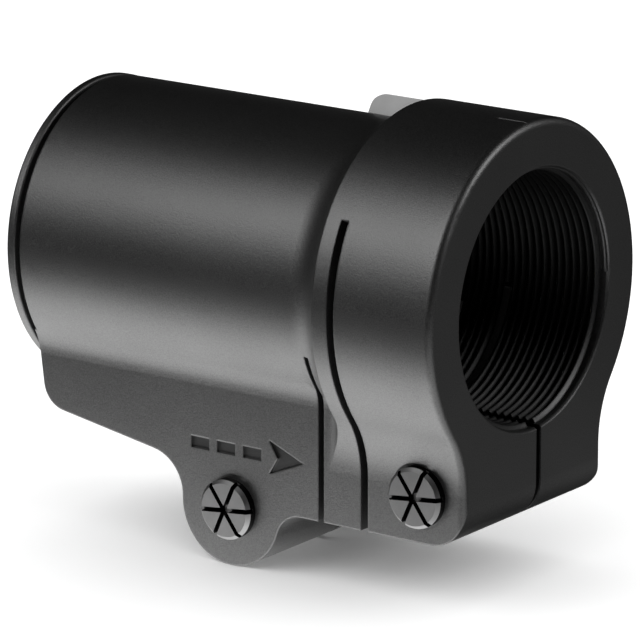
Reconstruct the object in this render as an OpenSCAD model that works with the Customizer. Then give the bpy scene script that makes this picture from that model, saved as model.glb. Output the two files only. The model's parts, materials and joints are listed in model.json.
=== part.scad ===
// Laser collimator: a split, keeled aluminium housing with an M30x1 thread in its front clamp ring, a
// collimating doublet behind the thread, and a sliding laser cartridge that the rear clamp locks.
// Frame: the origin is the centre of the front thread's mouth, +X leaves the mouth along the beam, +Z is up.
// Places along the beam are given as a distance behind the front face, so they count towards -X.

/* [Housing] */
// Diameter of the plain tube
tube_d = 35.4; // [35:0.1:37]
// Diameter of the front clamp ring
ring_d = 41.25; // [40.5:0.05:43]
// Length of the front clamp ring
ring_len = 16.1; // [15.6:0.1:16.8]
// Length of the housing, front face to rear face
body_len = 60.1; // [60:0.1:62]
// Radius of the hollow between the ring's shoulder and the tube
shoulder_r = 6; // [3:0.1:8]
// Rounding of the ring's front edge
front_round = 0.9; // [0.3:0.1:1.4]

/* [Keel] */
// Width of the keel and of the clamp foot
keel_w = 27.8; // [26:0.2:29]
// Depth of the keel below the axis, at the rear face
keel_rear_depth = 18.76; // [18:0.1:20]
// Slope of the keel's lower edge, downwards to the front, in degrees
keel_slope = 9.65; // [8:0.05:11]
// Depth of the clamp foot below the axis
foot_depth = 26.1; // [25.6:0.1:27]
// Radius of the foot's lower front corner
foot_corner_r = 4.6; // [2:0.1:5]
// Radius of the hollow between ring and foot
ring_blend_r = 12; // [8:1:16]
// Radius of the hollow between tube and keel
tube_blend_r = 5.5; // [4:0.5:8]
// Lean of the keel's rear edge, forwards to the bottom, in degrees
keel_lean = 7; // [0:1:9]
// Radius of the rear clamp's lobe
lobe_r = 6.85; // [6.4:0.05:7.4]

/* [Clamps] */
// Distance of the front clamp screw behind the front face
front_screw_x = 6.1; // [5.5:0.1:7]
// Depth of the front clamp screw below the axis
front_screw_depth = 20.65; // [20:0.05:21.5]
// Distance of the rear clamp screw behind the front face
rear_screw_x = 32.4; // [31.5:0.1:34]
// Depth of the rear clamp screw below the axis
rear_screw_depth = 26.7; // [26:0.1:27.5]
// Nominal diameter of both clamp screws
screw_d = 4; // [3:0.5:4]
// Diameter of the screw heads
screw_head_d = 7.1; // [6.5:0.1:7.6]
// Height of the screw heads
screw_head_h = 1.3; // [1:0.1:1.8]
// Width of the cross slit behind the front clamp
front_slit_w = 1.0; // [0.6:0.1:1.4]
// Width of the cross slit before the rear clamp
rear_slit_w = 0.8; // [0.5:0.1:1.2]
// Width of the lengthwise slit under the bore
split_w = 0.8; // [0.5:0.1:1.2]

/* [Thread and bores] */
// Nominal diameter of the front and rear threads
thread_d = 30; // [29.5:0.5:30.5]
// Length of the front thread
thread_len = 20.2; // [20:0.1:20.4]
// Diameter of the bore that guides the laser cartridge
guide_d = 28; // [27.8:0.1:28.2]

/* [Rear cap] */
// Diameter of the cap's flange
cap_d = 35.5; // [34.5:0.1:36]
// Thickness of the cap's flange
cap_t = 1.2; // [1:0.1:1.6]
// Gap between flange and housing, held open by the seal
cap_gap = 0.55; // [0.4:0.05:0.8]

/* [Button] */
// Length of the button pad along the tube
pad_l = 10.3; // [8:0.1:10.4]
// Width of the button pad
pad_w = 7.4; // [6:0.1:8]
// Distance of the pad's top from the axis
pad_top = 19.9; // [19.2:0.1:20.2]
// Angle of the button up from the +Y side, in degrees
pad_angle = 58; // [50:1:70]
// Travel of the button
pad_travel = 0.4; // [0.2:0.1:0.4]

/* [Hidden] */
$fn = 96;

eps = 0.01;
far = 60;                            // longer than any cut has to be
tube_r = tube_d / 2;
ring_r = ring_d / 2;
half_w = keel_w / 2;
shoulder_step = 0.1;                 // the shoulder meets the ring's rear face this far below its rim
ring_rise = ring_r - tube_r - shoulder_step;
shoulder_len = sqrt(shoulder_r * shoulder_r - pow(shoulder_r - ring_rise, 2));
runout_r = 2.5;                      // hollow behind the ring, beside the keel
thread_r = thread_d / 2;
guide_r = guide_d / 2;
screw_r = screw_d / 2;

// Wall furniture
mouth_r = thread_r + 0.2;            // chamfer at both thread mouths
mouth_len = 0.35;
rear_edge = 0.3;                     // chamfer of the tube's rear edge
keel_corner_r = 3.3;                 // rear lower corner of the keel
lean_top = -11.5;                    // the rear edge's lean starts below the tube
keel_top = -2;                       // the keel starts inside the tube
keel_reach = 38;                     // and its slope ends inside the foot
lobe_rear_blend = 5;                 // hollow behind the lobe
lobe_front_blend = 3.5;              // hollow before the lobe

// Slits, as distances behind the front face
front_slit_x = 13.1;
front_slit_top = 10.7;               // height above the axis where it leaves the ring's -Y side
front_slit_fall = 24;                // the cut's upper edge falls to the +Y side by this angle
rear_slit_x = 19.2;
rear_slit_top = -6.1;
split_y = 0.9;                       // the lengthwise slit's centre
split_end = 46;

// Screw holes
clear_r = screw_r + 0.25;
nut_r = 3;
nut_len = 4;
nut_gap = 0.02;
nut_bore_r = screw_r + 0.05;
seat_gap = 0.25;                     // between a head and its spot face's wall
seat_sink = 0.02;
slot_w = 0.55;                       // three crossed slots in the head
slot_depth = 0.9;
slot_turn = 6;
head_bevel = 0.4;
shank_end = half_w - 0.7;

// Marks: a generic beam arrow on the keel, and a witness line on the ring
arrow_x = 38;
arrow_z = -19.7;
arrow_depth = 0.3;
arrow_dash = [2.6, 1.4];
arrow_dashes = 3;
arrow_pitch = 3.7;
arrow_head = [4.8, 2];               // length and half width
arrow_nick = 1.2;                    // notch in the back of the arrow's head
witness_size = [4, 0.2];
witness_x = 0.4;
witness_depth = 0.15;
witness_turn = 4.2;

// Lens group
cell_front = thread_len + 0.3;
cell_rear = 26;
cell_seat_r = 14.8;
cell_gap = 0.03;
lens_r = 11;
lens_gap = 0.03;
lens_front = 20.9;                   // vertex of the front surface
lens_curve = 45;                     // radius of the front and of the cemented surface
cement_x = 24.3;                     // vertex of the cemented surface
lens_rear = 25.3;                    // the flat rear surface
lens_sag = lens_curve - sqrt(lens_curve * lens_curve - lens_r * lens_r);
cell_lip_r = 10.2;
ring_front = 21;
ring_rear = 22;
ring_bore_r = 10;
ring_notch = [2, 1.2, 0.6];          // two spanner notches: width, height, depth
curve_fn = 720;

// Button stack, as distances from the axis
pocket_floor = 15.9;
board_t = 0.2;
dome_top = 16.5;
dome_r = 2.3;
plunger_end = 16.95;
plunger_r = 1.2;
pad_base = 17.3;
pad_x = 22.55;
pad_end_r = 2.2;                     // rounding of the pad's two ends, seen from the side
pad_r = 0.8;                         // rounding of its corners, seen from above
pocket_gap = 0.15;
switch_l = 9.4;
switch_w = 5.4;
switch_r = 1;
lead_x = 26.8;
lead_hole_r = 0.7;
lead_w = 1;
lead_t = 0.2;
lead_run = 13.2;                     // distance of the lead's long run from the axis
lead_end = 46.6;
keyway_w = 2.6;
keyway_floor = 12.6;

// Laser cartridge
barrel_r = guide_r - 0.03;
barrel_front = 28;
barrel_rear = 54.4;
barrel_bore_r = 11.6;
web_front = 43;
web_rear = 46;
web_bore_r = 5;
stop_front = 29;
stop_rear = 30;
stop_r = 10.2;
part_gap = 0.03;
holder_flange_r = 7.5;
holder_front = 41.5;
holder_rear = 47.4;
can_r = 1.8;
header_r = 2.8;
header_front = 44.4;
header_rear = 45.6;
can_front = 41.9;
window_r = 0.6;
window_depth = 0.4;
retainer_rear = 46.6;
retainer_bore_r = 1.6;
pin_r = 0.22;
pin_circle = 1.2;
nut_notch = [1.2, 0.6, 1.5];         // two spanner notches: width, depth along the beam, height
board_front = 48.8;
board_rear = 49.8;
chip_h = 1;
chips = [[5, 3, 4, 4], [-5.5, 2, 3, 3], [-4, -5, 2, 1.2], [4, -5, 2, 1.2]];   // Y, Z, width, height
tray_front = 50.4;
battery_front = 51.3;
battery_r = 10;
battery_t = 3.2;
tray_r = barrel_bore_r - part_gap;
contact_r = 1.5;

// Rear cap
flange_front = body_len + cap_gap;
flange_rear = flange_front + cap_t;
plug_front = 55.6;
plug_r = thread_r - 0.05;
cap_edge = 0.3;
thread_end = 54.6;
cup_r = 10.6;
cup_floor = 59.2;
seal_r = 16.2;
seal_wire = 0.5;
groove_depth = 0.5;
groove_gap = 0.06;
coin_w = 1.8;
coin_len = 22;
coin_depth = 0.9;
spring_wire = 0.35;
spring_turns = 3;
spring_small = 3.5;
spring_large = 8.5;

housing_color = [0.17, 0.17, 0.17];
screw_color = [0.5, 0.5, 0.5];

// ---- helpers -------------------------------------------------------------------------------------------

// A cylinder on the beam axis between two distances behind the front face
module disc(front, rear, r) {
  translate([-rear, 0, 0]) rotate([0, 90, 0]) cylinder(h = rear - front, r = r);
}

// A tube on the beam axis
module pipe(front, rear, r, bore) {
  difference() {
    disc(front, rear, r);
    disc(front - 1, rear + 1, bore);
  }
}

// Turns a profile drawn as [radius, X] about the beam axis
module turned() {
  rotate([0, 90, 0]) rotate_extrude() children();
}

// Extrudes a profile drawn as [Y, Z] along X, between two distances behind the front face
module along_x(front, rear) {
  translate([-rear, 0, 0]) rotate([90, 0, 90]) linear_extrude(height = rear - front) children();
}

// Extrudes a profile drawn as [X, Z] along Y
module along_y(y0, y1) {
  translate([0, y1, 0]) rotate([90, 0, 0]) linear_extrude(height = y1 - y0) children();
}

// A cylinder along Y at a place below the axis
module cross_pin(x, depth, y0, y1, r) {
  translate([-x, y1, -depth]) rotate([90, 0, 0]) cylinder(h = y1 - y0, r = r);
}

// A slab with rounded corners
module slab(l, w, h, r) {
  linear_extrude(height = h) {
    square([l - 2 * r, w], center = true);
    square([l, w - 2 * r], center = true);
    for (sx = [-1, 1], sy = [-1, 1]) translate([sx * (l / 2 - r), sy * (w / 2 - r)]) circle(r = r);
  }
}

// Places a child at the button: local Z leaves the tube there, at a distance from the axis
module at_button(x, height) {
  rotate([pad_angle - 90, 0, 0]) translate([-x, 0, height]) children();
}

// Fills the hollow corner between a line and a circle. The line passes a0 in direction u, n points out of
// the material, and the circle has centre c and radius r. side is -1 before the circle and +1 after it.
module corner_fill(a0, u, n, c, r, f, side) {
  along = (c - a0) * u;
  below = (c - a0) * n;
  reach = sqrt((r + f) * (r + f) - (f - below) * (f - below));
  foot = a0 + u * (along + side * reach);
  hub = foot + n * f;
  difference() {
    polygon([foot, hub, c, a0 + u * along]);
    translate(hub) circle(r = f);
  }
}

// ---- housing -------------------------------------------------------------------------------------------

// Tube and ring as one turned profile, with the shoulder's hollow and the rounded front edge
module turned_body() {
  turned() {
    difference() {
      translate([0, -body_len]) square([tube_r, body_len]);
      translate([tube_r, -body_len]) rotate(45) square(rear_edge * sqrt(2), center = true);
    }
    difference() {
      translate([0, -ring_len]) square([ring_r, ring_len]);
      difference() {
        translate([ring_r - front_round, -front_round]) square(2 * front_round);
        translate([ring_r - front_round, -front_round]) circle(r = front_round);
      }
    }
    difference() {
      translate([tube_r - 1, -ring_len - shoulder_len]) square([ring_rise + 1, shoulder_len + 1]);
      translate([tube_r + shoulder_r, -ring_len - shoulder_len]) circle(r = shoulder_r);
    }
  }
}

// The hollow's centre beside a round of radius r, for a blend of radius f
function blend_hub(r, f) = [half_w + f, -sqrt((r + f) * (r + f) - (half_w + f) * (half_w + f))];

// Cross-section of keel or foot below a round of radius r
module keel_section(r, f) {
  hub = blend_hub(r, f);
  translate([-half_w, -far]) square([keel_w, far]);
  for (s = [0, 1]) mirror([s, 0]) difference() {
    polygon([[0, 0], hub, [half_w, hub[1]]]);
    translate(hub) circle(r = f);
  }
}

// Side view of keel, lobe and foot
module keel_side() {
  u = [cos(keel_slope), -sin(keel_slope)];
  n = [-sin(keel_slope), -cos(keel_slope)];
  lean = tan(keel_lean) * (keel_rear_depth + lean_top);
  rear_low = [-body_len + lean, -keel_rear_depth];
  rear_out = [-cos(keel_lean), -sin(keel_lean)];
  lobe = [-rear_screw_x, -rear_screw_depth];
  corner = rear_low + u * keel_corner_r / tan((90 + keel_lean + keel_slope) / 2) - n * keel_corner_r;
  difference() {
    polygon([[-body_len, keel_top], [-body_len, lean_top], rear_low, rear_low + u * keel_reach,
             [-body_len + keel_reach, keel_top]]);
    difference() {
      polygon([corner, corner + rear_out * (keel_corner_r + 1), rear_low + rear_out + n,
               corner + n * (keel_corner_r + 1)]);
      translate(corner) circle(r = keel_corner_r);
    }
  }
  difference() {
    translate([-rear_screw_x, -foot_depth]) square([rear_screw_x, foot_depth + keel_top]);
    difference() {
      translate([-foot_corner_r, -foot_depth - 1]) square(foot_corner_r + 1);
      translate([-foot_corner_r, -foot_depth + foot_corner_r]) circle(r = foot_corner_r);
      translate([-foot_corner_r - 1, -foot_depth + foot_corner_r]) square(foot_corner_r + 3);
    }
  }
  translate(lobe) circle(r = lobe_r);
  corner_fill(rear_low, u, n, lobe, lobe_r, lobe_rear_blend, -1);
  corner_fill([0, -foot_depth], [1, 0], [0, -1], lobe, lobe_r, lobe_front_blend, 1);
}

// A smaller shoulder runs on down beside the keel: round the hollow first, then straight down its flat side,
// until the ring's own hollow has sunk to the keel's width
module shoulder_runout() {
  hub = blend_hub(tube_r, tube_blend_r);
  inner = tube_blend_r - runout_r;
  ring_end = blend_hub(ring_r, ring_blend_r)[1];
  intersection() {
    along_x(ring_len - eps, ring_len + runout_r) keel_section(ring_r, ring_blend_r);
    translate([0, hub[0], hub[1]]) turned() difference() {
      translate([inner, -ring_len - runout_r]) square([runout_r + 1, runout_r + 1]);
      translate([inner, -ring_len - runout_r]) circle(r = runout_r);
    }
    along_x(ring_len - 1, ring_len + runout_r + 1) translate([0, hub[1]]) square([hub[0], -hub[1]]);
  }
  intersection() {
    along_x(ring_len - eps, ring_len + runout_r + 1) keel_section(ring_r, ring_blend_r);
    translate([0, 0, ring_end]) linear_extrude(height = hub[1] + eps - ring_end) difference() {
      translate([-ring_len - runout_r, half_w - 1]) square([runout_r + 1, runout_r + 1]);
      translate([-ring_len - runout_r, half_w + runout_r]) circle(r = runout_r);
    }
  }
}

// Rounds the foot's upright front edge and the hollow above it, on the +Y side
module foot_front_round() {
  hub = blend_hub(ring_r, ring_blend_r);
  translate([0, 0, -far]) linear_extrude(height = far + hub[1]) difference() {
    translate([-front_round, half_w - front_round]) square(2 * front_round);
    translate([-front_round, half_w - front_round]) circle(r = front_round);
  }
  intersection() {
    translate([0, hub[0], hub[1]]) turned() difference() {
      translate([ring_blend_r - front_round, -front_round]) square(2 * front_round);
      translate([ring_blend_r + front_round, -front_round]) circle(r = front_round);
    }
    along_x(-far, far) polygon([[0, 0], hub, [half_w - 3, hub[1]]]);
  }
}

module keel() {
  difference() {
    intersection() {
      union() {
        along_x(ring_len - 1, body_len + 1) keel_section(tube_r, tube_blend_r);
        along_x(-1, ring_len) keel_section(ring_r, ring_blend_r);
      }
      along_y(-half_w - 9, half_w + 9) keel_side();
    }
    for (s = [0, 1]) mirror([0, s, 0]) foot_front_round();
  }
}

module outer_body() {
  turned_body();
  keel();
  for (s = [0, 1]) mirror([0, s, 0]) shoulder_runout();
}

// A generic beam arrow: a row of dashes and a head, cut into the keel's -Y side
module beam_arrow() {
  head_x = arrow_dashes * arrow_pitch;
  translate([-arrow_x, 0, arrow_z]) along_y(-half_w - 1, -half_w + arrow_depth) {
    for (i = [0 : arrow_dashes - 1]) translate([i * arrow_pitch, -arrow_dash[1] / 2]) square(arrow_dash);
    polygon([[head_x, -arrow_head[1]], [head_x + arrow_head[0], 0], [head_x, arrow_head[1]],
             [head_x + arrow_nick, 0]]);
  }
}

// A short line on the crown of the ring, beside the thread's mouth
module witness_line() {
  rotate([witness_turn, 0, 0])
    translate([-witness_x - witness_size[0], -witness_size[1] / 2, ring_r - witness_depth])
      cube([witness_size[0], witness_size[1], 1]);
}

module housing() color(housing_color) {
  difference() {
    outer_body();
    // threads, lens seat and cartridge guide
    disc(-1, thread_len, thread_r);
    disc(thread_len - eps, cell_rear, cell_seat_r);
    disc(cell_rear - eps, thread_end + eps, guide_r);
    disc(thread_end, body_len + 1, thread_r);
    turned() {
      polygon([[0, 1], [mouth_r + 1, 1], [mouth_r, 0], [thread_r, -mouth_len], [0, -mouth_len]]);
      polygon([[0, -body_len - 1], [mouth_r + 1, -body_len - 1], [mouth_r, -body_len],
               [thread_r, -body_len + mouth_len], [0, -body_len + mouth_len]]);
    }
    // slits that free the two clamps
    translate([-front_slit_x - front_slit_w, -sqrt(ring_r * ring_r - front_slit_top * front_slit_top),
               front_slit_top])
      rotate([-front_slit_fall, 0, 0]) translate([0, -far, -2 * far]) cube([front_slit_w, 2 * far, 2 * far]);
    translate([-rear_slit_x - rear_slit_w, -far, rear_slit_top - 2 * far])
      cube([rear_slit_w, 2 * far, 2 * far]);
    translate([-split_end, split_y - split_w / 2, -far]) cube([split_end + 1, split_w, far]);
    // screw holes and nut seats, and the front head's spot face in the hollow under the ring
    for (p = [[front_screw_x, front_screw_depth], [rear_screw_x, rear_screw_depth]]) {
      cross_pin(p[0], p[1], -half_w - 1, half_w - nut_len + eps, clear_r);
      cross_pin(p[0], p[1], half_w - nut_len, half_w + 1, nut_r);
    }
    cross_pin(front_screw_x, front_screw_depth, -half_w - far, -half_w + seat_sink, screw_head_d / 2 + seat_gap);
    // button pocket, and the hole for its lead
    at_button(pad_x, pocket_floor)
      slab(pad_l + 2 * pocket_gap, pad_w + 2 * pocket_gap, far, pad_r + pocket_gap);
    at_button(lead_x, guide_r - 2) cylinder(h = 4, r = lead_hole_r);
    // marks
    beam_arrow();
    witness_line();
  }
}

// ---- clamps --------------------------------------------------------------------------------------------

module clamp_nut(x, depth) color(screw_color) {
  difference() {
    cross_pin(x, depth, half_w - nut_len + nut_gap, half_w, nut_r - nut_gap);
    cross_pin(x, depth, half_w - nut_len - 1, half_w + 1, nut_bore_r);
  }
}

module clamp_screw(x, depth) color(screw_color) {
  head_r = screw_head_d / 2;
  translate([-x, -half_w, -depth]) rotate([90, 0, 0]) difference() {
    rotate_extrude() polygon([
      [0, 0], [head_r, 0], [head_r, screw_head_h - head_bevel], [head_r - head_bevel, screw_head_h],
      [0, screw_head_h]]);
    for (i = [0 : 2]) rotate(slot_turn + 60 * i)
      translate([-far, -slot_w / 2, screw_head_h - slot_depth]) cube([2 * far, slot_w, far]);
  }
  cross_pin(x, depth, -half_w - eps, shank_end, screw_r);
}

module front_clamp_nut() clamp_nut(front_screw_x, front_screw_depth);
module rear_clamp_nut() clamp_nut(rear_screw_x, rear_screw_depth);
module front_clamp_screw() clamp_screw(front_screw_x, front_screw_depth);
module rear_clamp_screw() clamp_screw(rear_screw_x, rear_screw_depth);

// ---- lens group ----------------------------------------------------------------------------------------

module lens_cell() color([0.1, 0.1, 0.1]) {
  difference() {
    disc(cell_front, cell_rear, cell_seat_r - cell_gap);
    disc(thread_len - 1, lens_rear, lens_r + lens_gap);
    disc(thread_len, cell_rear + 1, cell_lip_r);
  }
}

module lens_retaining_ring() color([0.1, 0.1, 0.1]) {
  difference() {
    pipe(ring_front, ring_rear, lens_r, ring_bore_r);
    for (a = [0, 180]) rotate([a, 0, 0]) translate([-ring_front - ring_notch[2], -ring_notch[0] / 2, 0])
      cube([1, ring_notch[0], ring_bore_r + ring_notch[1] / 2]);
  }
}

// Profile of a ball that crosses the axis at a vertex; side +1 puts its centre behind the vertex
module ball_profile(vertex, side) {
  translate([0, -vertex - side * lens_curve]) circle(r = lens_curve, $fn = curve_fn);
}

module crown_lens() color([0.8, 0.9, 1, 0.5]) {
  turned() intersection() {
    translate([0, -lens_rear]) square([lens_r, lens_rear]);
    ball_profile(lens_front, 1);
    ball_profile(cement_x, -1);
  }
}

module flint_lens() color([0.8, 1, 0.9, 0.5]) {
  turned() difference() {
    translate([0, -lens_rear]) square([lens_r, lens_rear - cement_x + lens_sag]);
    ball_profile(cement_x + part_gap, -1);
  }
}

// ---- button --------------------------------------------------------------------------------------------

// Side view of the pad: flat below, with rounded ends above
module pad_side() {
  height = pad_top - pad_base;
  difference() {
    translate([-pad_l / 2, 0]) square([pad_l, height]);
    for (s = [0, 1]) mirror([s, 0]) translate([pad_l / 2 - pad_end_r, height - pad_end_r]) difference() {
      square(2 * pad_end_r);
      circle(r = pad_end_r);
    }
  }
}

module button_pad() color([0.8, 0.8, 0.8]) {
  at_button(pad_x, pad_base) intersection() {
    along_y(-pad_w, pad_w) pad_side();
    translate([0, 0, -1]) slab(pad_l + pocket_gap, pad_w, pad_top, pad_r);
  }
  at_button(pad_x, plunger_end) cylinder(h = pad_base - plunger_end + eps, r = plunger_r);
}

module switch_dome() color([0.8, 0.7, 0.4]) {
  at_button(pad_x, pocket_floor + board_t) cylinder(h = dome_top - pocket_floor - board_t, r = dome_r);
}

module switch_board() color([0.6, 0.35, 0.1]) {
  at_button(pad_x, pocket_floor) slab(switch_l, switch_w, board_t, switch_r);
}

module switch_lead() color([0.6, 0.35, 0.1]) {
  at_button(lead_x, lead_run) translate([-lead_t / 2, -lead_w / 2, 0])
    cube([lead_t, lead_w, pocket_floor - lead_run]);
  at_button(lead_end, lead_run) translate([0, -lead_w / 2, 0])
    cube([lead_end - lead_x + lead_t / 2, lead_w, lead_t]);
}

// ---- laser cartridge -----------------------------------------------------------------------------------

module cartridge_barrel() color([0.3, 0.3, 0.3]) {
  difference() {
    disc(barrel_front, barrel_rear, barrel_r);
    disc(barrel_front - 1, web_front, barrel_bore_r);
    disc(web_rear, barrel_rear + 1, barrel_bore_r);
    disc(web_front - 1, web_rear + 1, web_bore_r);
    at_button(barrel_rear + 1, keyway_floor) translate([0, -keyway_w / 2, 0]) cube([far, keyway_w, far]);
  }
}

module aperture_stop() color([0.1, 0.1, 0.1]) {
  pipe(stop_front, stop_rear, barrel_bore_r - part_gap, stop_r);
}

module diode_holder() color([0.75, 0.6, 0.3]) {
  difference() {
    union() {
      disc(holder_front, web_front, holder_flange_r);
      disc(web_front - eps, holder_rear, web_bore_r - part_gap);
    }
    disc(holder_front - 1, holder_rear + 1, can_r + part_gap);
    disc(header_front, holder_rear + 1, header_r + part_gap);
  }
}

module diode_holder_nut() color([0.75, 0.6, 0.3]) {
  difference() {
    pipe(web_rear, holder_rear, holder_flange_r, web_bore_r);
    for (a = [0, 180]) rotate([a, 0, 0])
      translate([-holder_rear - 1, -nut_notch[0] / 2, holder_flange_r - nut_notch[2]])
        cube([1 + nut_notch[1], nut_notch[0], far]);
  }
}

module laser_diode() color([0.8, 0.7, 0.4]) {
  difference() {
    disc(can_front, header_front + eps, can_r);
    disc(can_front - 1, can_front + window_depth, window_r);
  }
  disc(header_front, header_rear, header_r);
  for (a = [0 : 120 : 240]) rotate([a, 0, 0]) translate([0, 0, pin_circle])
    disc(header_rear - eps, board_front, pin_r);
}

module diode_retainer() color([0.75, 0.6, 0.3]) {
  pipe(header_rear, retainer_rear, header_r, retainer_bore_r);
}

module driver_board() color([0.1, 0.35, 0.2]) {
  disc(board_front, board_rear, barrel_bore_r - part_gap);
}

// Driver chip, trimmer and two capacitors on the board's front face
module board_components() color([0.1, 0.1, 0.1]) {
  for (c = chips) translate([-board_front, c[0] - c[2] / 2, c[1] - c[3] / 2]) cube([chip_h, c[2], c[3]]);
}

module battery_contact() color([0.8, 0.7, 0.4]) {
  disc(board_rear, battery_front, contact_r);
}

module battery_tray() color([0.15, 0.15, 0.15]) {
  difference() {
    disc(tray_front, barrel_rear, tray_r);
    disc(battery_front, barrel_rear + 1, battery_r + 0.1);
    disc(tray_front - 1, battery_front + 1, contact_r + part_gap);
  }
}

module battery() color([0.75, 0.75, 0.75]) {
  disc(battery_front, battery_front + battery_t, battery_r);
}

// ---- rear cap ------------------------------------------------------------------------------------------

module rear_cap() color(housing_color) {
  cap_r = cap_d / 2;
  difference() {
    union() {
      turned() polygon([
        [0, -flange_front], [cap_r - cap_edge / 2, -flange_front], [cap_r, -flange_front - cap_edge / 2],
        [cap_r, -flange_rear + cap_edge], [cap_r - cap_edge, -flange_rear], [0, -flange_rear]]);
      disc(plug_front, flange_front + eps, plug_r);
    }
    disc(plug_front - 1, cup_floor, cup_r);
    pipe(flange_front - eps, flange_front + groove_depth,
         seal_r + seal_wire + groove_gap, seal_r - seal_wire - groove_gap);
    translate([-flange_rear - 1, -coin_w / 2, -coin_len / 2]) cube([1 + coin_depth, coin_w, coin_len]);
  }
}

module cap_seal() color([0.05, 0.05, 0.05]) {
  turned() translate([seal_r, -body_len - seal_wire]) circle(r = seal_wire);
}

// One point of a conical spring's wire: t runs from 0 to 1 along the coil, side counts round the wire
sides = 8;
steps_per_turn = 20;
spring_steps = spring_turns * steps_per_turn;
spring_near = battery_front + battery_t + spring_wire + 0.1;
spring_far = cup_floor - spring_wire;
function spring_point(t, side) =
  let (turn = 360 * spring_turns * t,
       wire = 360 * side / sides,
       r = spring_small + (spring_large - spring_small) * t + spring_wire * cos(wire),
       x = -spring_near - (spring_far - spring_near) * t + spring_wire * sin(wire))
  [x, r * cos(turn), r * sin(turn)];

module battery_spring() color([0.8, 0.8, 0.8]) {
  points = [for (i = [0 : spring_steps], s = [0 : sides - 1]) spring_point(i / spring_steps, s)];
  walls = [for (i = [0 : spring_steps - 1], s = [0 : sides - 1])
    let (a = i * sides + s, b = i * sides + (s + 1) % sides)
    for (face = [[a, b, b + sides], [a, b + sides, a + sides]]) face];
  first = [for (s = [sides - 1 : -1 : 0]) s];
  last = [for (s = [0 : sides - 1]) spring_steps * sides + s];
  polyhedron(points = points, faces = concat(walls, [first, last]));
}

housing();
front_clamp_nut();
rear_clamp_nut();
front_clamp_screw();
rear_clamp_screw();
lens_cell();
lens_retaining_ring();
crown_lens();
flint_lens();
button_pad();
switch_dome();
switch_board();
switch_lead();
cartridge_barrel();
aperture_stop();
diode_holder();
diode_holder_nut();
laser_diode();
diode_retainer();
driver_board();
board_components();
battery_contact();
battery_tray();
battery();
rear_cap();
cap_seal();
battery_spring();
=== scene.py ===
"""A laser collimator with a split clamp ring: its finishes, thread, studio and camera."""
import json
import math

import bmesh
import bpy
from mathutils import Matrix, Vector


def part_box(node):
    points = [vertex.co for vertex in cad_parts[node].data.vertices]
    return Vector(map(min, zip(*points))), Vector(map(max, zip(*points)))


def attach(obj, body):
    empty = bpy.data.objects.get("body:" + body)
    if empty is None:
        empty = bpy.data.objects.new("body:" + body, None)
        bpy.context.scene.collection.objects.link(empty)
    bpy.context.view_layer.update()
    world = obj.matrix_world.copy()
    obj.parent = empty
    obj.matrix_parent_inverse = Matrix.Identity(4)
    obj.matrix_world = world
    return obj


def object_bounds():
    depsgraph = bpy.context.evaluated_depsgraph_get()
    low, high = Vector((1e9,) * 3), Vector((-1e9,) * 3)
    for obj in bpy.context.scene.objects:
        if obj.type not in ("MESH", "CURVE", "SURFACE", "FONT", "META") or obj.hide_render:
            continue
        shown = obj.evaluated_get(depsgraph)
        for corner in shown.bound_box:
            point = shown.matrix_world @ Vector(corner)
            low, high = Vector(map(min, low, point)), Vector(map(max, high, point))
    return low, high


MM = 0.001

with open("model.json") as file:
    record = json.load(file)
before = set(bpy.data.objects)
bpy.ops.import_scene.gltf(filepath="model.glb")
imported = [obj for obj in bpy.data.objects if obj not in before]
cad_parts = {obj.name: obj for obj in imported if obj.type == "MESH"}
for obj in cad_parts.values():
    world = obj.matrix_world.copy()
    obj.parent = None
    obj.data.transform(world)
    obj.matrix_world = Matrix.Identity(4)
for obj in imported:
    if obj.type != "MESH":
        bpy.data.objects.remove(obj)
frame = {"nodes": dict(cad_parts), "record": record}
cad_low, cad_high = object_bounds()
nodes = frame["nodes"]
slot_of = {part["node"]: part["material_slot"] for part in frame["record"]["subparts"]}


# ---- shader helpers ------------------------------------------------------------------------------------

def grey(value):
    return (value, value, value)


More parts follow.
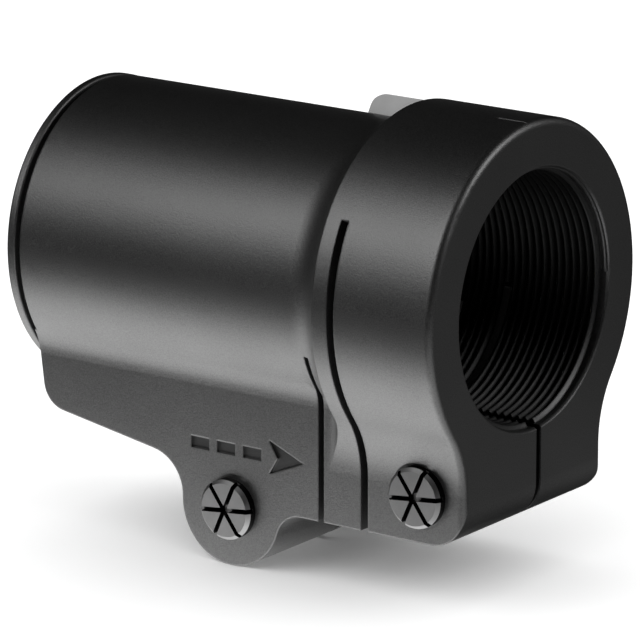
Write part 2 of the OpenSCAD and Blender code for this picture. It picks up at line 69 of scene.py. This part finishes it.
class Shader:
    """A new node material, with a few short calls for building it."""

    def __init__(self, name, **constants):
        self.material = bpy.data.materials.new(name)
        self.material.use_nodes = True
        self.tree = self.material.node_tree
        self.bsdf = self.tree.nodes["Principled BSDF"]
        self.object_coords = self.add("ShaderNodeTexCoord").outputs["Object"]
        for key, value in constants.items():
            self.bsdf.inputs[key.replace("_", " ").title().replace("Ior", "IOR")].default_value = value

    def add(self, kind, **settings):
        node = self.tree.nodes.new(kind)
        for key, value in settings.items():
            setattr(node, key, value)
        return node

    def link(self, source, target):
        self.tree.links.new(source, target)

    def scaled(self, stretch):
        mapping = self.add("ShaderNodeMapping")
        mapping.inputs["Scale"].default_value = stretch
        self.link(self.object_coords, mapping.inputs["Vector"])
        return mapping.outputs["Vector"]

    def noise(self, per_metre, detail=3.0, roughness=0.55, stretch=(1, 1, 1)):
        """Noise with about per_metre features in a metre."""
        node = self.add("ShaderNodeTexNoise")
        node.inputs["Scale"].default_value = per_metre
        node.inputs["Detail"].default_value = detail
        node.inputs["Roughness"].default_value = roughness
        self.link(self.scaled(stretch), node.inputs["Vector"])
        return node.outputs["Fac"]

    def turned(self, per_metre, along="X", distortion=0.4):
        """Fine lines left by a lathe, counted along an axis."""
        node = self.add("ShaderNodeTexWave", wave_type="BANDS", bands_direction=along)
        node.inputs["Scale"].default_value = per_metre
        node.inputs["Distortion"].default_value = distortion
        node.inputs["Detail"].default_value = 2
        self.link(self.object_coords, node.inputs["Vector"])
        return node.outputs["Fac"]

    def axis(self, name):
        """One coordinate of the object's own space."""
        node = self.add("ShaderNodeSeparateXYZ")
        self.link(self.object_coords, node.inputs["Vector"])
        return node.outputs[name]

    def math(self, operation, first, second=0):
        node = self.add("ShaderNodeMath", operation=operation)
        for value, slot in ((first, node.inputs[0]), (second, node.inputs[1])):
            if isinstance(value, (int, float)):
                slot.default_value = value
            else:
                self.link(value, slot)
        return node.outputs["Value"]

    def within(self, value, low, high):
        """1 where value lies between low and high."""
        above = self.math("GREATER_THAN", value, low)
        below = self.math("LESS_THAN", value, high)
        return self.math("MULTIPLY", above, below)

    def ramp(self, value, low, high, dark, light):
        """Colours dark to light as value goes from low to high."""
        node = self.add("ShaderNodeValToRGB")
        first, last = node.color_ramp.elements
        first.position, last.position = low, high
        first.color, last.color = (*dark, 1), (*light, 1)
        self.link(value, node.inputs["Fac"])
        return node.outputs["Color"]

    def mixed(self, factor, base, over):
        """base, with the colour over where factor is 1."""
        node = self.add("ShaderNodeMix", data_type="RGBA")
        self.link(factor, node.inputs["Factor"])
        self.link(base, node.inputs[6])
        node.inputs[7].default_value = (*over, 1)
        return node.outputs[2]

    def span(self, value, low, high, to_low, to_high):
        """A number from to_low to to_high as value goes from low to high."""
        node = self.add("ShaderNodeMapRange")
        for key, number in (("From Min", low), ("From Max", high), ("To Min", to_low), ("To Max", to_high)):
            node.inputs[key].default_value = number
        self.link(value, node.inputs["Value"])
        return node.outputs["Result"]

    def openness(self, reach):
        """1 on open surfaces, falling to 0 in gaps narrower than about reach."""
        node = self.add("ShaderNodeAmbientOcclusion", samples=16, only_local=True)
        node.inputs["Distance"].default_value = reach
        return node.outputs["AO"]

    def facing(self, name):
        """One component of the surface's own normal."""
        geometry = self.add("ShaderNodeNewGeometry")
        node = self.add("ShaderNodeSeparateXYZ")
        self.link(geometry.outputs["True Normal"], node.inputs["Vector"])
        return node.outputs[name]

    def edges(self, radius):
        """Normals that round every sharp edge a little."""
        node = self.add("ShaderNodeBevel", samples=6)
        node.inputs["Radius"].default_value = radius
        return node.outputs["Normal"]

    def bump(self, height, distance, strength=1.0, over=None):
        node = self.add("ShaderNodeBump")
        node.inputs["Strength"].default_value = strength
        node.inputs["Distance"].default_value = distance
        self.link(height, node.inputs["Height"])
        if over is not None:
            self.link(over, node.inputs["Normal"])
        return node.outputs["Normal"]

    def finish(self, colour=None, roughness=None, normal=None):
        for source, name in ((colour, "Base Color"), (roughness, "Roughness"), (normal, "Normal")):
            if source is not None:
                self.link(source, self.bsdf.inputs[name])
        return self.material


# ---- materials -----------------------------------------------------------------------------------------

def anodised():
    """Bead-blasted, dark anodised aluminium with softly broken edges.

    It is blacker in the engraved mark. Painted shade makes it near-black in the bore and in the keel's
    lengthwise slit. The bore and the slit have no end towards the rear here, so the painted shade also falls on
    the cap's rear in the same places.
    """
    screw_head_t = 1.3 * MM
    # the mark's box: its depth behind the keel's -Y side, and where it lies on that side
    mark_depth = (0.1 * MM, 0.32 * MM)
    mark_x = (-39 * MM, -21 * MM)
    mark_z = (-22 * MM, -17.4 * MM)
    # the bore's radius, and where its painted shade fades in from the front face
    bore_r = 15.1 * MM
    bore_shade_fade_x = (-0.4 * MM, -2 * MM)
    # the keel's lengthwise slit, whose walls get painted shade
    split_y = (0.4 * MM, 1.4 * MM)
    split_top = -14 * MM
    s = Shader("anodised", metallic=1.0)
    cloud = s.noise(60, detail=2)
    grain = s.noise(6500, detail=1)
    tone = s.math("ADD", s.math("MULTIPLY", cloud, 0.25), s.math("MULTIPLY", grain, 0.75))
    colour = s.ramp(tone, 0.3, 0.7, grey(0.27), grey(0.40))
    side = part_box("rear_clamp_screw")[0].y + screw_head_t
    sunk = s.within(s.axis("Y"), side + mark_depth[0], side + mark_depth[1])
    along = s.within(s.axis("X"), *mark_x)
    height = s.within(s.axis("Z"), *mark_z)
    mark = s.math("MULTIPLY", sunk, s.math("MULTIPLY", along, height))
    y, z = s.axis("Y"), s.axis("Z")
    # painted shade in the bore: within bore_r of the axis, fading in behind the front face
    off_axis_squared = s.math("ADD", s.math("MULTIPLY", y, y), s.math("MULTIPLY", z, z))
    bore = s.math("LESS_THAN", off_axis_squared, bore_r ** 2)
    painted_bore_shade = s.math("MULTIPLY", bore, s.span(s.axis("X"), *bore_shade_fade_x, 0, 1))
    # painted shade on the walls of the keel's lengthwise slit
    split = s.math("MULTIPLY", s.within(y, *split_y), s.math("LESS_THAN", z, split_top))
    colour = s.mixed(mark, colour, grey(0.15))
    # grey 0.07 is painted shade: near-black colour standing in for the shade in the bore and the slit
    colour = s.mixed(s.math("MAXIMUM", painted_bore_shade, split), colour, grey(0.07))
    rough = s.span(grain, 0.3, 0.7, 0.40, 0.48)
    return s.finish(colour, rough, s.bump(grain, 0.025 * MM, 0.8, s.edges(0.3 * MM)))


def cell_black():
    """Matt black anodised cell and stops, with lathe lines."""
    s = Shader("cell_black", metallic=0.6)
    lines = s.turned(3000)
    grain = s.noise(6000)
    colour = s.ramp(grain, 0.3, 0.7, grey(0.012), grey(0.02))
    return s.finish(colour, s.span(grain, 0.3, 0.7, 0.5, 0.6), s.bump(lines, 0.006 * MM, 0.5))


def turned_metal(name, dark, light, smooth, rough, along="X"):
    """Lathe-turned metal with fine rings and a slightly uneven tone."""
    s = Shader(name, metallic=1.0)
    lines = s.turned(2600, along)
    tone = s.noise(220, stretch=(4, 1, 1))
    grain = s.noise(5000)
    normal = s.bump(grain, 0.002 * MM, 0.4, s.bump(lines, 0.004 * MM, 0.5))
    return s.finish(s.ramp(tone, 0.3, 0.7, dark, light), s.span(lines, 0, 1, smooth, rough), normal)


def glass(name, tint, index):
    """Coated lens glass, with the faintest dust."""
    s = Shader(name, transmission_weight=1.0, coat_weight=0.3, ior=index)
    dust = s.noise(900, detail=6)
    return s.finish(s.ramp(dust, 0.3, 0.7, tint, grey(0.98)), s.span(dust, 0.5, 0.8, 0.0, 0.03))


def moulded(name, dark, light, rough, grain_size, depth, **constants):
    """Moulded plastic, rubber or resin with a fine grain."""
    s = Shader(name, **constants)
    tone = s.noise(300)
    grain = s.noise(grain_size, detail=4)
    return s.finish(s.ramp(tone, 0.3, 0.7, dark, light), s.span(grain, 0.3, 0.7, rough, rough + 0.12),
                    s.bump(grain, depth, 0.7, s.edges(0.2 * MM)))


def solder_mask():
    """Green board with lighter tracks under the mask."""
    s = Shader("board", coat_weight=0.4)
    node = s.add("ShaderNodeTexBrick")
    for key, value in (("Scale", 260), ("Mortar Size", 0.03), ("Row Height", 0.5)):
        node.inputs[key].default_value = value
    swizzle = s.add("ShaderNodeCombineXYZ")
    s.link(s.axis("Y"), swizzle.inputs["X"])
    s.link(s.axis("Z"), swizzle.inputs["Y"])
    s.link(swizzle.outputs["Vector"], node.inputs["Vector"])
    tracks = node.outputs["Fac"]
    colour = s.ramp(tracks, 0.2, 0.8, (0.012, 0.09, 0.035), (0.05, 0.24, 0.1))
    rough = s.span(s.noise(3000), 0.3, 0.7, 0.3, 0.42)
    return s.finish(colour, rough, s.bump(tracks, 0.02 * MM, 0.5))


def screw_steel():
    """Screw steel with painted shade: the sides and the drive slots are coloured near-black, the faced end and
    its bevel keep the steel colour.
    """
    s = Shader("screw_steel", metallic=1.0)
    grain = s.noise(6000, detail=4, stretch=(1, 0.1, 1))
    tone = s.noise(500)
    steel = s.ramp(tone, 0.3, 0.7, grey(0.48), grey(0.54))
    # painted shade in the drive slots, taken from ambient occlusion
    painted_slot_shade = s.span(s.openness(0.8 * MM), 0.6, 0.85, 1, 0)
    # painted shade on the sides: surfaces that do not face along the screw's axis are coloured near-black
    facing = s.math("ABSOLUTE", s.facing("Y"))
    black = s.math("MAXIMUM", painted_slot_shade, s.math("LESS_THAN", facing, 0.3))
    # grey 0.01 is painted shade, not a finish of the steel
    colour = s.mixed(black, steel, grey(0.01))
    return s.finish(colour, s.span(grain, 0.3, 0.7, 0.42, 0.5), s.bump(grain, 0.001 * MM, 0.4))


MATERIALS = {
    "anodised": anodised(),
    "cell_black": cell_black(),
    "bare_aluminium": turned_metal("bare_aluminium", grey(0.58), grey(0.66), 0.28, 0.4),
    "screw_steel": screw_steel(),
    "spring_steel": turned_metal("spring_steel", grey(0.5), grey(0.62), 0.2, 0.3),
    "crown_glass": glass("crown_glass", (0.9, 0.95, 1.0), 1.52),
    "flint_glass": glass("flint_glass", (0.93, 1.0, 0.95), 1.62),
    "pad_rubber": moulded("pad_rubber", grey(0.23), grey(0.26), 0.6, 7000, 0.01 * MM),
    "seal_rubber": moulded("seal_rubber", grey(0.01), grey(0.016), 0.4, 5000, 0.006 * MM),
    "brass": turned_metal("brass", (0.62, 0.42, 0.16), (0.76, 0.56, 0.27), 0.22, 0.36),
    "gold_plate": turned_metal("gold_plate", (0.8, 0.58, 0.24), (0.9, 0.7, 0.36), 0.16, 0.28),
    "flex_film": moulded("flex_film", (0.5, 0.24, 0.04), (0.62, 0.33, 0.07), 0.25, 3000, 0.004 * MM,
                         coat_weight=0.3),
    "board": solder_mask(),
    "chip": moulded("chip", grey(0.018), grey(0.028), 0.5, 9000, 0.01 * MM),
    "tray": moulded("tray", grey(0.05), grey(0.065), 0.5, 6000, 0.01 * MM),
    "cell_can": turned_metal("cell_can", grey(0.6), grey(0.68), 0.22, 0.34),
}

for name, node in nodes.items():
    node.data.materials.clear()
    node.data.materials.append(MATERIALS[slot_of[name]])


# ---- the front thread ----------------------------------------------------------------------------------

def thread_ridge():
    """The M30x1 thread's ridge: a closed section swept along a left-hand helix, open at the slits."""
    mount = next(m for m in frame["record"]["mounts"] if m["name"] == "front_thread")
    root = mount["dims"]["r_mm"] * MM
    pitch = 1 * MM
    crest = root - 0.54 * pitch
    foot = root + 0.04 * MM
    start = -0.6 * MM
    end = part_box("lens_cell")[1].x + 0.5 * MM
    steps_per_turn = 120
    lead_in_steps = steps_per_turn // 2
    # the section's corners: radius, and place along the axis in pitches; the foot is sunk into the wall
    section = [(foot, 0.46), (crest, 0.1), (crest, -0.1), (foot, -0.46)]
    # the slits across the keel: rear face, front face, height of the upper edge above the axis, and how far
    # that edge falls for each unit to the +Y side
    front_slit = (-14.15 * MM, -13.05 * MM, 2.9 * MM, math.tan(math.radians(24)))
    rear_slit = (-20.05 * MM, -19.15 * MM, -6.05 * MM, 0)
    split_y = (0.45 * MM, 1.35 * MM)
    turns = (start - end) / pitch

    def centre(i):
        return 2 * math.pi * i / steps_per_turn, start - pitch * i / steps_per_turn

    def is_open(i):
        angle, x = centre(i)
        y, z = root * math.cos(angle), root * math.sin(angle)
        in_split = z < 0 and split_y[0] < y < split_y[1]
        in_cross = any(
            rear < x < front and z < top - fall * y
            for rear, front, top, fall in (front_slit, rear_slit)
        )
        return in_split or in_cross

    def ring_of(i):
        angle, x = centre(i)
        grown = min(1, (i + 1) / lead_in_steps)
        corners = []
        for radius, width in section:
            r = root + (radius - root) * grown
            corners.append(bm.verts.new((x + width * pitch, r * math.cos(angle), r * math.sin(angle))))
        return corners

    bm = bmesh.new()
    last = None
    for i in range(int(turns * steps_per_turn) + 1):
        if is_open(i):
            if last:
                bm.faces.new(last)
            last = None
            continue
        ring = ring_of(i)
        if last:
            for a in range(4):
                b = (a + 1) % 4
                bm.faces.new((last[a], last[b], ring[b], ring[a]))
        else:
            bm.faces.new(ring[::-1])
        last = ring
    if last:
        bm.faces.new(last)
    bmesh.ops.recalc_face_normals(bm, faces=bm.faces)
    mesh = bpy.data.meshes.new("front_thread_ridge")
    bm.to_mesh(mesh)
    bm.free()
    mesh.materials.append(MATERIALS["anodised"])
    ridge = bpy.data.objects.new("front_thread_ridge", mesh)
    bpy.context.scene.collection.objects.link(ridge)
    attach(ridge, "root")


thread_ridge()


# ---- studio --------------------------------------------------------------------------------------------

def direction(azimuth, elevation):
    """Unit vector from the object; azimuth 0 is -Y and 90 is +X, in degrees."""
    a, e = math.radians(azimuth), math.radians(elevation)
    return Vector((math.sin(a) * math.cos(e), -math.cos(a) * math.cos(e), math.sin(e)))


def panel(name, size, radiance, place, facing):
    """A rectangular soft light, hidden from the camera; facing points away from what it lights."""
    data = bpy.data.lights.new(name, "AREA")
    data.shape = "RECTANGLE"
    data.size, data.size_y = size
    data.energy = radiance * math.pi * size[0] * size[1]
    light = bpy.data.objects.new(name, data)
    bpy.context.scene.collection.objects.link(light)
    light.location = place
    light.rotation_mode = "QUATERNION"
    light.rotation_quaternion = facing.to_track_quat("Z", "Y")
    light.visible_camera = False


def softbox(name, azimuth, elevation, distance, size, radiance, centre):
    """A panel at a distance from centre, in the given direction, turned to face it."""
    back = direction(azimuth, elevation)
    panel(name, size, radiance, centre + back * distance, back)


def table_panel(name, x, y, size, radiance):
    """A panel below the table top that shines up through it."""
    panel(name, size, radiance, Vector((x, y, cad_low.z - 25 * MM)), Vector((0, 0, -1)))


def floor_white():
    s = Shader("floor_white")
    tone = s.noise(40, detail=2)
    return s.finish(s.ramp(tone, 0.3, 0.7, grey(0.885), grey(0.9)), s.span(tone, 0, 1, 0.85, 0.95))


def floor():
    """A pale table top at the object's lowest point. It lets the panels light the metal through it."""
    mesh = bpy.data.meshes.new("floor")
    half = 3
    z = cad_low.z
    corners = [(-half, -half, z), (half, -half, z), (half, half, z), (-half, half, z)]
    mesh.from_pydata(corners, [], [(0, 1, 2, 3)])
    mesh.materials.append(floor_white())
    sheet = bpy.data.objects.new("floor", mesh)
    bpy.context.scene.collection.objects.link(sheet)
    sheet.visible_glossy = False
    sheet.visible_shadow = False


scene = bpy.context.scene
scene.view_settings.view_transform = "Standard"
world = bpy.data.worlds.new("studio")
scene.world = world
world.use_nodes = True
backdrop = world.node_tree.nodes["Background"]
backdrop.inputs["Color"].default_value = (1, 1, 1, 1)
backdrop.inputs["Strength"].default_value = 1.4
world.cycles_visibility.glossy = False

floor()
middle = Vector((0.01, 0, 0))
# name, azimuth and elevation in degrees, distance, size, radiance, and the point that it faces
softbox("side_softbox", -38, 33, 0.34, (0.2, 0.19), 1.25, Vector((0.05, 0, 0)))
softbox("back_card", -145, 2, 0.5, (0.5, 0.12), 0.05, middle)
softbox("face_card", 144, -15, 0.5, (0.7, 0.5), 0.03, middle)
softbox("far_softbox", 118, 34, 0.45, (0.26, 0.2), 1.8, middle)
softbox("top_card", -127, 48, 0.5, (0.5, 0.4), 0.012, middle)
# name, x, y, size and radiance
table_panel("table_glow", -0.08, -0.0335, (0.16, 0.091), 1.15)
table_panel("front_glow", 0.06, -0.06, (0.12, 0.11), 0.5)
table_panel("far_glow", 0.05, 0.09, (0.12, 0.08), 0.08)

camera_data = bpy.data.cameras.new("camera")
camera = bpy.data.objects.new("camera", camera_data)
scene.collection.objects.link(camera)
scene.camera = camera
camera_data.sensor_width = 36
camera_data.lens = 311
camera_data.clip_start = 0.01
camera_data.clip_end = 20
camera_azimuth, camera_elevation = 35.914, 15.077
camera_distance_mm = 573.4
aim = Vector((6.45, -50.07, 9.6)) * MM
camera_back = direction(camera_azimuth, camera_elevation)
camera.location = aim + camera_back * camera_distance_mm * MM
camera.rotation_mode = "QUATERNION"
camera.rotation_quaternion = camera_back.to_track_quat("Z", "Y")
